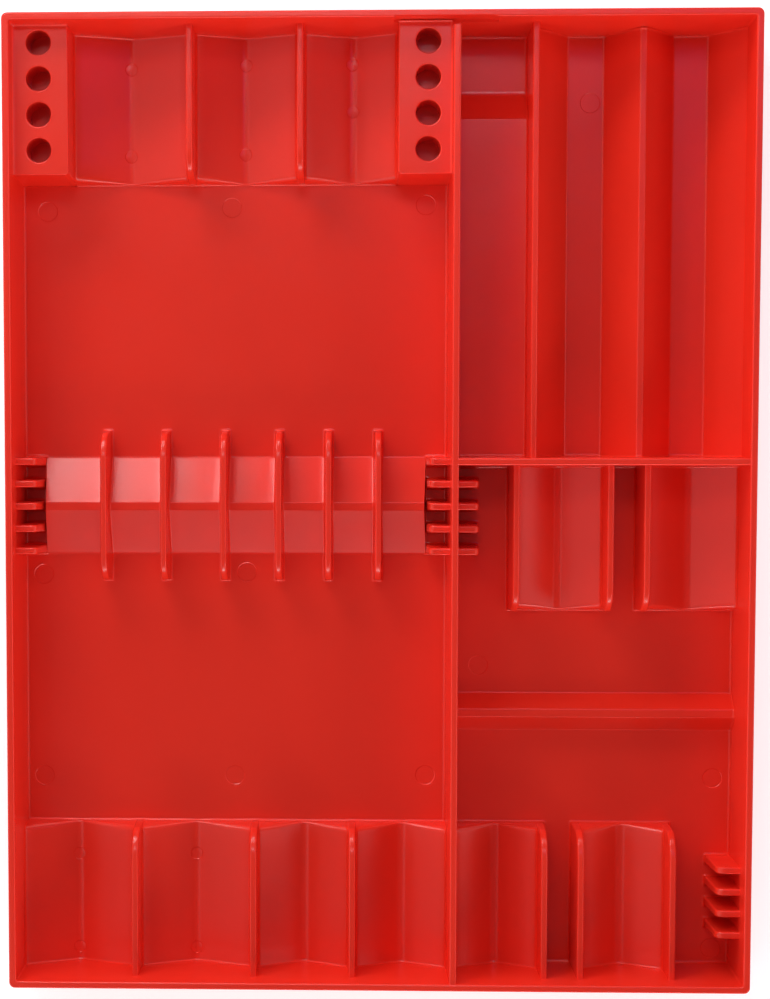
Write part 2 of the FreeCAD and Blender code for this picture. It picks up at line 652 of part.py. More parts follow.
# The saddle lies between the tips of the two left combs, in stretches between the shaft ribs
saddle_front = "(wall_thick + comb_start - saddle_front_margin)"
saddle_rear = f"({CROSS_MIDDLE} + saddle_rear_margin)"
crest_front = f"({saddle_front} + saddle_front_run)"
crest_rear = f"({crest_front} + saddle_crest)"
saddle_top = "(floor_thick + saddle_height)"
shaft_pitches = ["shaft_pitch_wide_share", "shaft_pitch_wide_share", "shaft_pitch_middle_share",
                 "shaft_pitch_narrow_share", "shaft_pitch_narrow_share"]
shaft_middles = [f"(wall_thick + first_shaft_rib_share * {LEFT_BAY})"]
for pitch in shaft_pitches:
    shaft_middles.append(f"({shaft_middles[-1]} + {pitch} * {LEFT_BAY})")
shaft_ribs = []
for number, middle in enumerate(shaft_middles, start=1):
    form = plate(f"shaft_rib_{number}", "y", f"({saddle_front} - shaft_rib_reach)",
                 f"({saddle_rear} + shaft_rib_reach)", middle, "shaft_rib_thick", SHAFT_RIB_TOP,
                 free=("start", "end"), lean="shaft_rib_lean")
    shaft_ribs.append(finished(form, f"shaft_rib_{number}"))
saddle_ends = [left_comb_tips] + shaft_middles + [centre_comb_tips]
saddle_sides = [left_comb] + shaft_ribs + [centre_left_comb]
for number in range(1, len(saddle_ends)):
    left, right = saddle_ends[number - 1], saddle_ends[number]
    head_left = f"{left} + saddle_end_lean" if number == 1 else left
    head_right = f"{right} - saddle_end_lean" if number == len(saddle_ends) - 1 else right
    form = new_body(f"saddle_{number}")
    solid = wedge(form, f"saddle_{number}_wedge", (left, right, saddle_front, saddle_rear),
                  (head_left, head_right, crest_front, crest_rear), FLOOR, saddle_top)

    def crest_line(edge):
        return level_at(edge, value(saddle_top)) and edge.BoundBox.XLength > NEAR

    rounded(form, f"saddle_{number}_crest", solid, crest_line, "min(saddle_edge_radius; saddle_crest)")
    finished(trimmed(form, saddle_sides[number - 1], saddle_sides[number]), f"saddle_{number}")

# The low ridge that crosses the right bay
ridge_front = "(wall_thick + cross_ridge_start)"
ridge_crest = f"({ridge_front} + cross_ridge_front_run)"
ridge_top = "(floor_thick + cross_ridge_height)"
ridge_form = prism("cross_ridge", "x", CENTRE_MIDDLE, IN_RIGHT_WALL, (
    (ridge_front, FLOOR), (f"{ridge_crest} + cross_ridge_crest + cross_ridge_rear_run", FLOOR),
    (f"{ridge_crest} + cross_ridge_crest", ridge_top), (ridge_crest, ridge_top)))
crest_rounded(ridge_form, "cross_ridge_crest", "x", ridge_top, "ridge_edge_radius")
finished(trimmed(ridge_form, centre_divider, right_wall), "cross_ridge")

# Channels behind the cross divider: a ramp from each side, and a ridge between two strips of floor
ramp_top = "(floor_thick + channel_ramp_height)"
ramp_run = f"channel_ramp_run_share * {RIGHT_BAY}"
ramp_form = prism("left_channel_ramp", "y", CROSS_MIDDLE, IN_REAR_WALL, (
    (CHANNEL_MIDDLE, FLOOR), (f"{CHANNEL_RIGHT} + {ramp_run}", FLOOR),
    (CHANNEL_RIGHT, ramp_top), (CHANNEL_MIDDLE, ramp_top)))
finished(trimmed(ramp_form, cross_divider, rear_wall, channel_divider), "left_channel_ramp")
ridge_left = f"({CHANNEL_RIGHT} + {ramp_run} + channel_floor_share * {RIGHT_BAY})"
ridge_foot = f"channel_ridge_foot_share * {RIGHT_BAY}"
ridge_middle = f"({ridge_left} + {ridge_foot} / 2)"
peak = "(floor_thick + channel_ridge_height)"
ridge_form = prism("channel_ridge", "y", CROSS_MIDDLE, IN_REAR_WALL, (
    (ridge_left, FLOOR), (f"{ridge_left} + {ridge_foot}", FLOOR),
    (f"{ridge_middle} + channel_ridge_top / 2", peak), (f"{ridge_middle} - channel_ridge_top / 2", peak)))
crest_rounded(ridge_form, "channel_ridge_crest", "y", peak, "ridge_edge_radius")
finished(trimmed(ridge_form, cross_divider, rear_wall), "channel_ridge")
ramp_form = prism("right_channel_ramp", "y", CROSS_MIDDLE, IN_REAR_WALL, (
    (f"{INNER_RIGHT} - {ramp_run}", FLOOR), (IN_RIGHT_WALL, FLOOR),
    (IN_RIGHT_WALL, ramp_top), (INNER_RIGHT, ramp_top)))
finished(trimmed(ramp_form, cross_divider, rear_wall, right_wall), "right_channel_ramp")

# The narrow pocket: a raised step, and a well by the rear wall
well_front = f"({INNER_REAR} - pocket_well)"
step_top = "(floor_thick + pocket_step_height)"
step_form = prism("pocket_step", "x", CENTRE_MIDDLE, CHANNEL_MIDDLE, (
    (CROSS_MIDDLE, FLOOR), (well_front, FLOOR), (f"{well_front} - pocket_ramp", step_top),
    (CROSS_MIDDLE, step_top)))
finished(trimmed(step_form, centre_divider, cross_divider, channel_divider), "pocket_step")

# Check every object, and write one file for each section
doc.recompute()
for thing in doc.Objects:
    if "Invalid" in thing.State or "Error" in thing.State:
        raise RuntimeError(f"{thing.Label} did not compute: {thing.State}")
for node in nodes:
    if node.Shape.isNull() or not node.Shape.isValid() or not node.Shape.Solids:
        raise RuntimeError(f"{node.Label} has no valid shape")
os.makedirs("parts", exist_ok=True)
for node in nodes:
    node.Shape.exportStep(os.path.join("parts", node.Label + ".step"))
    print(f"{node.Label}: {len(node.Shape.Solids)} solids, {node.Shape.Volume:.0f} mm3")
print(len(nodes), "sections")
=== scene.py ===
# %% [markdown]
# # A screwdriver tray in Blender
#
# The tray is one moulding of glossy red plastic: a shallow box with ribs, cradles, combs of teeth and
# blocks with holes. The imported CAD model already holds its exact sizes, section by section. This lesson
# dresses that model: it adds the soft roots and lips that every moulding has, gives the plastic its
# gloss, and looks at it from where the photograph was taken.
#
# The first cell loads the CAD sections. They come in metres, X to the right of the tray, Y to its rear
# and Z up, and each one stays exactly where it is.

# %% Load the tray's sections
import math

import bmesh
import bpy
import numpy as np
from mathutils import Matrix, Vector


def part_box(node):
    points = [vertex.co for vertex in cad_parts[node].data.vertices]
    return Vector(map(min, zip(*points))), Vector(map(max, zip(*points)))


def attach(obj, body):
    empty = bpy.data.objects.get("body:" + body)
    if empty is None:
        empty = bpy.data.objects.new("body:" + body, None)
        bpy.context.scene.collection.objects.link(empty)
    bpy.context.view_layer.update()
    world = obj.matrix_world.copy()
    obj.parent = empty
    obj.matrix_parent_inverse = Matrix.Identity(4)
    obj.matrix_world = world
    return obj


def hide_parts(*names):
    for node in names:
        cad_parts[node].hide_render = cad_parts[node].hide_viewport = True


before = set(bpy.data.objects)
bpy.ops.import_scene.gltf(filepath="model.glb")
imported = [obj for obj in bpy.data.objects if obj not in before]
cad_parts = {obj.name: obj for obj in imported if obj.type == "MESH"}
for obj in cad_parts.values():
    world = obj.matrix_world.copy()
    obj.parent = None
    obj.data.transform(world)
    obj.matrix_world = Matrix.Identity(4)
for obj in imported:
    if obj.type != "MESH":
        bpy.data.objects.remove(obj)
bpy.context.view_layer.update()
MM = 0.001

# %% [markdown]
# ## The camera
#
# The photograph looks almost straight down, from a point over the middle of the tray, and was then
# cropped. A crop moves the middle of the picture away from the lens's own axis, which Blender calls
# shift. Turning the camera instead would make the side walls lean the wrong way, so a small shift is
# the honest choice. Depth of field stays off, because everything in the photograph is sharp.

# %% Camera
eye = Vector((-10.252, 21.033, 901.694)) * MM
tilt = (0.0664305, -0.0326908, -0.0023556)
looks = Matrix.Rotation(tilt[2], 3, "Z") @ Matrix.Rotation(tilt[1], 3, "Y") @ Matrix.Rotation(tilt[0], 3, "X")
lens_data = bpy.data.cameras.new("photo_camera")
lens_data.lens = 76.629
lens_data.shift_x = 0.1011
lens_data.shift_y = 0.0978
lens_data.clip_start = 0.01
lens_data.clip_end = 20.0
camera = bpy.data.objects.new("photo_camera", lens_data)
camera.matrix_world = Matrix.Translation(eye) @ looks.transposed().to_4x4()
bpy.context.scene.collection.objects.link(camera)
bpy.context.scene.camera = camera
print("camera height over the base in mm:", round(eye.z / MM))

# %% [markdown]
# ## The plastic
#
# The real surface is polished polypropylene or styrene: one red all through, a clear gloss, and a
# faint waviness from the mould that makes reflections swim a little. The red could be a flat colour,
# but a moulding is never quite even: thick places, flow lines and handling vary it by a few percent.
# Noise on Object coordinates gives that, and because every section sits at the origin, the pattern
# runs on from one section to the next as it does in one moulding.

# %% Red moulded plastic
def red_moulded_plastic(name):
    material = bpy.data.materials.new(name)
    material.use_nodes = True
    tree = material.node_tree
    nodes, links = tree.nodes, tree.links
    shader = nodes["Principled BSDF"]
    shader.inputs["IOR"].default_value = 1.45
    where = nodes.new("ShaderNodeTexCoord").outputs["Object"]

    def noise(scale, detail, roughness=0.5):
        node = nodes.new("ShaderNodeTexNoise")
        node.inputs["Scale"].default_value = scale
        node.inputs["Detail"].default_value = detail
        node.inputs["Roughness"].default_value = roughness
        links.new(where, node.inputs["Vector"])
        return node.outputs["Fac"]

    # Slow drift of the colour, about one part in fifteen
    drift = nodes.new("ShaderNodeValToRGB")
    drift.color_ramp.elements[0].position = 0.3
    drift.color_ramp.elements[0].color = (0.88, 0.0300, 0.0138, 1)
    drift.color_ramp.elements[1].position = 0.7
    drift.color_ramp.elements[1].color = (0.94, 0.0350, 0.0168, 1)
    links.new(noise(9.0, 3.0), drift.inputs["Fac"])
    links.new(drift.outputs["Color"], shader.inputs["Base Color"])

    # Gloss that varies where the mould was polished less
    gloss = nodes.new("ShaderNodeMapRange")
    gloss.inputs["To Min"].default_value = 0.18
    gloss.inputs["To Max"].default_value = 0.28
    links.new(noise(60.0, 4.0, 0.6), gloss.inputs["Value"])
    links.new(gloss.outputs["Result"], shader.inputs["Roughness"])

    # Waviness over centimetres, and a fine grain on top of it
    waves = nodes.new("ShaderNodeBump")
    waves.inputs["Strength"].default_value = 0.15
    waves.inputs["Distance"].default_value = 0.0012
    links.new(noise(45.0, 2.0), waves.inputs["Height"])
    grain = nodes.new("ShaderNodeBump")
    grain.inputs["Strength"].default_value = 0.14
    grain.inputs["Distance"].default_value = 0.0002
    links.new(noise(1400.0, 3.0, 0.6), grain.inputs["Height"])
    links.new(waves.outputs["Normal"], grain.inputs["Normal"])
    links.new(grain.outputs["Normal"], shader.inputs["Normal"])
    return material


red_plastic = red_moulded_plastic("red_moulded_plastic")
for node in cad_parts.values():
    node.data.materials.clear()
    node.data.materials.append(red_plastic)
print("sections in red plastic:", len(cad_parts))

# %% [markdown]
# ## Sizes that the dressing needs
#
# The CAD sections say where everything is, so most places are read from their boxes. What the boxes
# can't say is how much the walls and plates lean, because a moulding must slip out of its mould. Those
# few slopes are repeated here, and a small helper gives the face of a plate or wall at any height.

# %% Slopes and faces
floor_top = 2.8
rim_top = 38.0
block_top = 28.6
plate_slope = 0.021
wall_height = 35.2
side_wall_slope = 0.4 / wall_height
end_wall_slope = 1.7 / wall_height
end_wall_foot = 194.4
# How far a form reaches below the floor's top, and into the walls beside it
sunk = 0.05
hidden = 0.3


def box_mm(node):
    low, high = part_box(node)
    return np.array(low) / MM, np.array(high) / MM


def side_face(node, towards):
    """Where the face of a wall or plate that looks along X stands at a height, in mm."""
    low, high = box_mm(node)
    if node == "left_wall":
        return lambda z: high[0] - side_wall_slope * (z - floor_top)
    if node == "right_wall":
        return lambda z: low[0] + side_wall_slope * (z - floor_top)
    foot = high[0] if towards > 0 else low[0]
    return lambda z: foot - towards * plate_slope * (z - floor_top)


def end_face(node, towards):
    """The same for a face that looks along Y."""
    if node == "rear_wall":
        return lambda z: end_wall_foot + end_wall_slope * (z - floor_top)
    if node == "front_wall":
        return lambda z: -end_wall_foot - end_wall_slope * (z - floor_top)
    low, high = box_mm(node)
    foot = high[1] if towards > 0 else low[1]
    return lambda z: foot - towards * plate_slope * (z - floor_top)


print("left wall's inner face at the floor and the rim:", round(side_face("left_wall", 1)(floor_top), 2),
      round(side_face("left_wall", 1)(rim_top), 2))

# %% [markdown]
# ## Solids from rings
#
# Beds, saddle, ridges and ramps are long forms with one cross-section that changes a little on the way.
# A cube with bevels would need a new bevel for every edge. A row of rings, joined ring to ring and
# closed at both ends, gives full control: each ring is a cross-section with its own heights. Edges
# that turn by more than 35 degrees stay sharp, and all others are shaded smooth.

# %% Rings to a closed solid
# Degrees from which an edge stays sharp. The side of a mark turns by 37 degrees
sharp_turn = 35
sharp_turn_with_marks = 22


def shaded(shape, sharp_from):
    """Shades a mesh smooth apart from its sharp edges, and counts its open edges."""
    for face in shape.faces:
        face.smooth = True
    for edge in shape.edges:
        edge.smooth = edge.is_manifold and edge.calc_face_angle(0) < math.radians(sharp_from)
    return sum(not edge.is_manifold for edge in shape.edges)


def finished_mesh(name, vertices, faces):
    mesh = bpy.data.meshes.new(name)
    mesh.from_pydata([tuple(v) for v in vertices], [], faces)
    shape = bmesh.new()
    shape.from_mesh(mesh)
    bmesh.ops.remove_doubles(shape, verts=shape.verts, dist=0.000004)
    bmesh.ops.dissolve_degenerate(shape, edges=shape.edges, dist=0.000001)
    bmesh.ops.recalc_face_normals(shape, faces=shape.faces)
    open_edges = shaded(shape, sharp_turn)
    shape.to_mesh(mesh)
    shape.free()
    mesh.materials.append(red_plastic)
    piece = bpy.data.objects.new(name, mesh)
    bpy.context.scene.collection.objects.link(piece)
    print(name, "faces:", len(mesh.polygons), "open edges:", open_edges)
    return piece


def press_marks(piece, cutter):
    """Presses the cutter's discs into the piece, which stays one plain closed mesh."""
    modifier = piece.modifiers.new("marks", "BOOLEAN")
    modifier.operation = "DIFFERENCE"
    modifier.solver = "EXACT"
    modifier.object = cutter
    pressed = bpy.data.meshes.new_from_object(piece.evaluated_get(bpy.context.evaluated_depsgraph_get()))
    piece.modifiers.remove(modifier)
    bpy.data.objects.remove(cutter)
    shape = bmesh.new()
    shape.from_mesh(pressed)
    open_edges = shaded(shape, sharp_turn_with_marks)
    shape.to_mesh(pressed)
    shape.free()
    pressed.name = piece.name
    piece.data = pressed
    print(piece.name, "with marks, faces:", len(pressed.polygons), "open edges:", open_edges)


def solid_from_rings(name, rings):
    """Joins rings of equally many points to a solid, closed at both ends."""
    rings = np.array(rings)
    count, size = rings.shape[:2]
    faces = []
    for ring in range(count - 1):
        for point in range(size):
            a = ring * size + point
            b = ring * size + (point + 1) % size
            faces.append((a, b, b + size, a + size))
    faces.append(tuple(reversed(range(size))))
    faces.append(tuple((count - 1) * size + point for point in range(size)))
    return finished_mesh(name, rings.reshape(-1, 3) * MM, faces)


# %% [markdown]
# ## Round roots
#
# Where a rib stands on the floor, the mould has a small radius, or the plastic would tear there as it
# cools. The eye reads it as a thin bright line. In a cross-section it is a quarter of a circle that
# climbs the wall. The function below gives its rise at a distance from the wall, and the next one
# spaces points closely where the curve turns fast.

# %% Rise of a root
root = 1.0
quarter = np.linspace(0, math.pi / 2, 7)
near_wall = root * (1 - np.cos(quarter))


def rise(*distances):
    """Height of the round root above the surface, near one wall or in the corner of two."""
    inside = math.hypot(*[max(0.0, root - max(0.0, d)) for d in distances])
    inside = min(inside, root)
    return root - math.sqrt(root * root - inside * inside)


def rounded_line(corners, radii, steps=8):
    """A line through corners, with an arc of its own radius at each inner corner."""
    corners = [np.array(c, float) for c in corners]
    points = [corners[0]]
    for before, corner, after, radius in zip(corners, corners[1:], corners[2:], radii):
        to_before = (before - corner) / np.linalg.norm(before - corner)
        to_after = (after - corner) / np.linalg.norm(after - corner)
        half = math.acos(max(-1.0, min(1.0, float(to_before @ to_after)))) / 2
        reach = radius / math.tan(half)
        bisector = to_before + to_after
        middle = corner + bisector / np.linalg.norm(bisector) * radius / math.sin(half)
        start = corner + to_before * reach - middle
        end = corner + to_after * reach - middle
        turn = math.pi - 2 * half
        for step in range(steps + 1):
            share = step / steps
            arc = (math.sin((1 - share) * turn) * start + math.sin(share * turn) * end) / math.sin(turn)
            points.append(middle + arc)
    points.append(corners[-1])
    return np.array(points)


print("root radius in mm:", root, "rise at a third of it:", round(rise(root / 3), 3))

# %% [markdown]
# ## The cradles
#
# Eleven beds hold the handles. Each is a shallow valley between two ribs, with a soft line along its
# bottom, a round root against the ribs and the wall behind, and a free end whose lip is rounder near
# the ribs than over the valley. That lip catches the light in two bright strokes, one on each side. The
# CAD beds have the right planes, but a lip whose radius changes has to be made ring by ring: one ring
# for each place across the bed, each ring running from the wall over the bed and down to the floor.

# %% Cradle beds
mark_depth = 0.22
mark_lean = 1.33


def bed_mark(bed_z, x, y):
    """A disc that presses a mark into a bed. Its underside follows the bed, and its side leans outwards."""
    radius = 2.7
    wide = radius + 0.53
    vertices, faces = [], []
    sides = 36
    for ring_radius, lift in ((radius - mark_lean * mark_depth, -mark_depth), (wide, 0.4), (wide, 1.0)):
        for step in range(sides):
            angle = 2 * math.pi * step / sides
            px, py = x + ring_radius * math.cos(angle), y + ring_radius * math.sin(angle)
            vertices.append((px, py, bed_z(px) + lift))
    vertices += [(x, y, bed_z(x) - mark_depth), (x, y, bed_z(x) + 1.0)]
    for step in range(sides):
        following = (step + 1) % sides
        faces.append((following, step, 3 * sides))
        for ring in range(2):
            below, above = ring * sides, (ring + 1) * sides
            faces.append((below + step, below + following, above + following, above + step))
        faces.append((2 * sides + step, 2 * sides + following, 3 * sides + 1))
    return finished_mesh("mark_cutter", np.array(vertices) * MM, faces)


bed_marks_at = {
    "rear_cradle_1": [(-103.3, 181.7), (-103.5, 145.8)], "rear_cradle_2": [(-55.4, 183.1), (-55.6, 146.4)],
    "rear_cradle_3": [(-11.2, 183.2), (-11.0, 163.9)], "front_cradle_1": [(-127.0, -148.6), (-127.0, -188.8)],
    "front_cradle_2": [(-76.8, -148.2), (-76.9, -188.8)],
}


def cradle_bed(node, left, right, back, valley_share, bed_height, valley_height, free, free_y):
    """A bed between two ribs. Its free end looks to the rear where free is 1, to the front where it is -1."""
    valley_radius = 5.0
    end_slope = 0.15
    side_z = floor_top + bed_height + root / 2
    x_left, x_right = left(side_z), right(side_z)
    valley_x = x_left + valley_share * (x_right - x_left)
    valley_z = floor_top + valley_height
    drop = bed_height - valley_height
    slope_left = drop / (valley_x - x_left)
    slope_right = drop / (x_right - valley_x)
    hyp_left, hyp_right = math.hypot(1, slope_left), math.hypot(1, slope_right)
    middle_x = valley_x - valley_radius * (hyp_right - hyp_left) / (slope_left + slope_right)
    middle_z = valley_z + slope_left * (valley_x - middle_x) + valley_radius * hyp_left
    arc_left = middle_x - valley_radius * slope_left / hyp_left
    arc_right = middle_x + valley_radius * slope_right / hyp_right

    def bed_z(x):
        if x < arc_left:
            return valley_z + slope_left * (valley_x - x)
        if x > arc_right:
            return valley_z + slope_right * (x - valley_x)
        return middle_z - math.sqrt(valley_radius ** 2 - (x - middle_x) ** 2)

    across = [x_left - hidden] + list(x_left + near_wall)
    across += list(np.linspace(x_left + root, arc_left, 8)[1:])
    across += list(np.linspace(arc_left, arc_right, 11)[1:])
    across += list(np.linspace(arc_right, x_right - root, 8)[1:])
    across += list((x_right - near_wall)[::-1][1:]) + [x_right + hidden]
    turn = np.linspace(0, math.pi / 2 - math.atan(end_slope), 9)
    rings = []
    for x in across:
        beside = min(x - x_left, x_right - x)
        flat_z = bed_z(min(max(x, x_left), x_right))
        lip_z = flat_z + rise(beside)
        # The lip is tight over the valley and rounder towards the ribs
        climb = (flat_z - valley_z) / drop
        lip = 0.7 + 1.9 * min(1.0, climb * 1.6)
        lip = min(lip, (lip_z - floor_top) * 0.6)
        lip_middle_z = lip_z - lip
        lip_back = end_slope * (lip_middle_z - floor_top) + lip * math.hypot(1, end_slope)
        lip_middle_y = free_y - free * lip_back
        wall_y = back(flat_z + root / 2)
        ring = [(x, wall_y - free * hidden, floor_top - sunk)]
        inner = [-hidden] + list(near_wall)
        for step in inner:
            ring.append((x, wall_y + free * step, flat_z + rise(beside, step)))
        start_y = wall_y + free * root
        for share in np.linspace(0, 1, 9)[1:]:
            ring.append((x, start_y + share * (lip_middle_y - start_y), lip_z))
        for angle in turn[1:]:
            ring.append((x, lip_middle_y + free * lip * math.sin(angle),
                         lip_middle_z + lip * math.cos(angle)))
        # Down the end face, and out over the root at its foot
        foot = min(0.8, (lip_middle_z - floor_top) * 0.7)
        for angle in np.linspace(0, math.pi / 2, 6):
            out, up = foot * (1 - math.cos(angle)), foot * (1 - math.sin(angle))
            ring.append((x, free_y + free * out - free * end_slope * up, floor_top + up))
        ring.append((x, free_y, floor_top - sunk))
        rings.append(ring)
    bed = solid_from_rings(node + "_bed", rings)
    for x, y in bed_marks_at.get(node, []):
        press_marks(bed, bed_mark(bed_z, x, y))
    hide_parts(node)
    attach(bed, "root")


rear_wall_face = end_face("rear_wall", -1)
front_wall_face = end_face("front_wall", 1)
cross_face = end_face("cross_divider", -1)
rear_row, front_row, middle_row = (8.2, 0.8), (10.2, 1.2), (9.2, 1.2)
beds = [
    ("rear_cradle_1", "left_bit_block", "rear_rib_1", rear_wall_face, 0.4906, *rear_row, -1),
    ("rear_cradle_2", "rear_rib_1", "rear_rib_2", rear_wall_face, 0.4853, *rear_row, -1),
    ("rear_cradle_3", "rear_rib_2", "right_bit_block", rear_wall_face, 0.5275, *rear_row, -1),
    ("front_cradle_1", "left_wall", "front_rib_1", front_wall_face, 0.4852, *front_row, 1),
    ("front_cradle_2", "front_rib_1", "front_rib_2", front_wall_face, 0.4925, *front_row, 1),
    ("front_cradle_3", "front_rib_2", "front_rib_3", front_wall_face, 0.5117, *front_row, 1),
    ("front_cradle_4", "front_rib_3", "centre_divider", front_wall_face, 0.5052, *front_row, 1),
    ("corner_cradle_1", "centre_divider", "corner_rib_1", front_wall_face, 0.4929, *front_row, 1),
    ("corner_cradle_2", "corner_rib_2", "corner_rib_3", front_wall_face, 0.4957, *front_row, 1),
    ("middle_cradle_1", "middle_rib_1", "middle_rib_2", cross_face, 0.4916, *middle_row, -1),
    ("middle_cradle_2", "middle_rib_3", "right_wall", cross_face, 0.4785, *middle_row, -1),
]
for node, left, right, back, share, bed_height, valley_height, free in beds:
    low, high = box_mm(node)
    cradle_bed(node, side_face(left, 1), side_face(right, -1), back, share, bed_height, valley_height, free,
               high[1] if free > 0 else low[1])

# %% [markdown]
# ## Saddle, ridges, ramps and step
#
# The other raised forms keep one cross-section along their whole length. Each is drawn as a line with
# rounded corners: up from the floor, over the crest and down. Rings repeat that line from one end to the
# other, and near a rib or wall each ring is lifted a little by the root.

# %% Long forms
def stations(start, end, lift_start=True, lift_end=True):
    """Places along a form, close together where a root climbs the wall at either end, and their lifts."""
    places = [start - hidden] + list(start + near_wall) if lift_start else [start, start + 0.25]
    places += list(np.linspace(start + root, end - root, 8)[1:-1])
    places += list((end - near_wall)[::-1]) + [end + hidden] if lift_end else [end - 0.25, end]
    lifts = []
    for place in places:
        lift = rise(place - start) if lift_start else 0.0
        lifts.append(max(lift, rise(end - place) if lift_end else 0.0))
    return places, lifts


def long_form(node, along, line, start, end, lift_start=True, lift_end=True, lean_start=0.0, lean_end=0.0):
    """A solid over the floor whose top follows a line, given as (place across, height) points."""
    line = np.array(line)
    top = line[:, 1].max()
    rings = []
    places, lifts = stations(start, end, lift_start, lift_end)
    for number, (place, lift) in enumerate(zip(places, lifts)):
        ring = []
        for across, z in [(line[0][0], floor_top - sunk)] + [(a, h + lift) for a, h in line] + [
                (line[-1][0], floor_top - sunk)]:
            up = (z - floor_top) / (top - floor_top)
            share = number / (len(places) - 1)
            here = place + lean_start * up * (1 - share) - lean_end * up * share
            ring.append((here, across, z) if along == "x" else (across, here, z))
        rings.append(ring)
    form = solid_from_rings(node + "_form", rings)
    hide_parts(node)
    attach(form, "root")


# %% Saddle between the combs
saddle_low, saddle_high = box_mm("saddle_2")
saddle_top = 14.0
crest_start = saddle_low[1] + 18.7
crest_end = crest_start + 3.15
saddle_line = rounded_line(
    [(saddle_low[1] - 3, floor_top), (saddle_low[1], floor_top), (crest_start, saddle_top),
     (crest_end, saddle_top), (saddle_high[1], floor_top), (saddle_high[1] + 3, floor_top)],
    [2.5, 1.0, 1.0, 2.0])[1:-1]
middle_z = 9.0
for number in range(1, 8):
    node = f"saddle_{number}"
    low, high = box_mm(node)
    start = side_face(f"shaft_rib_{number - 1}", 1)(middle_z) if number > 1 else low[0]
    end = side_face(f"shaft_rib_{number}", -1)(middle_z) if number < 7 else high[0]
    long_form(node, "x", saddle_line, start, end, number > 1, number < 7,
              1.0 if number == 1 else 0.0, 1.0 if number == 7 else 0.0)

# %% Ridge across the right bay
low, high = box_mm("cross_ridge")
ridge_top, middle_z = 10.8, 6.0
ridge_line = rounded_line(
    [(low[1] - 3, floor_top), (low[1], floor_top), (low[1] + 6.2, ridge_top), (low[1] + 9.6, ridge_top),
     (high[1], floor_top), (high[1] + 3, floor_top)], [1.2, 0.9, 0.9, 1.2])[1:-1]
long_form("cross_ridge", "x", ridge_line, side_face("centre_divider", 1)(middle_z),
          side_face("right_wall", -1)(middle_z))

# %% Channels: two ramps and a ridge
channel_front = end_face("cross_divider", 1)(9.0)
channel_rear = rear_wall_face(9.0)
ramp_top, beyond = 18.5, 24.0
low, high = box_mm("left_channel_ramp")
divider_face = side_face("channel_divider", 1)(ramp_top)
left_ramp_line = rounded_line(
    [(divider_face, beyond), (divider_face, ramp_top), (high[0], floor_top), (high[0] + 4, floor_top)],
    [1.6, 1.6])[1:-1]
left_ramp_line = np.vstack([[divider_face - hidden, left_ramp_line[0][1]], left_ramp_line])
long_form("left_channel_ramp", "y", left_ramp_line, channel_front, channel_rear)
low, high = box_mm("right_channel_ramp")
wall_face = side_face("right_wall", -1)(ramp_top)
right_ramp_line = rounded_line(
    [(low[0] - 4, floor_top), (low[0], floor_top), (wall_face, ramp_top), (wall_face, beyond)],
    [1.6, 1.6])[1:-1]
right_ramp_line = np.vstack([right_ramp_line, [wall_face + hidden, right_ramp_line[-1][1]]])
long_form("right_channel_ramp", "y", right_ramp_line, channel_front, channel_rear)
low, high = box_mm("channel_ridge")
ridge_middle = (low[0] + high[0]) / 2
channel_ridge_line = rounded_line(
    [(low[0] - 4, floor_top), (low[0], floor_top), (ridge_middle - 1.2, ramp_top),
     (ridge_middle + 1.2, ramp_top), (high[0], floor_top), (high[0] + 4, floor_top)],
    [1.6, 0.9, 0.9, 1.6])[1:-1]
long_form("channel_ridge", "y", channel_ridge_line, channel_front, channel_rear)

# %% Step in the pocket
low, high = box_mm("pocket_step")
step_top = 8.8
step_line = rounded_line(
    [(channel_front, 14.0), (channel_front, step_top), (high[1] - 10.8, step_top), (high[1], floor_top),
     (high[1] + 4, floor_top)], [root, 0.7, 6.0])[1:-1]
step_line = np.vstack([[channel_front - hidden, step_line[0][1]], step_line])
middle_z = 9.3
long_form("pocket_step", "x", step_line, side_face("centre_divider", 1)(middle_z),
          side_face("channel_divider", -1)(middle_z))

# %% [markdown]
# ## Roots on the open floor
#
# On the open floor the same round root follows every foot: along the walls and dividers, and right
# round each rib and tooth. One profile swept along many paths is what Geometry Nodes are for. The paths
# are a mesh of edges only. The tree turns them into curves, keeps each curve's normal level so that the
# profile never rolls, sweeps the profile along them, and gives the result its plastic. The profile lies
# to the right of the way that a path runs, so a path round a rib runs anticlockwise.

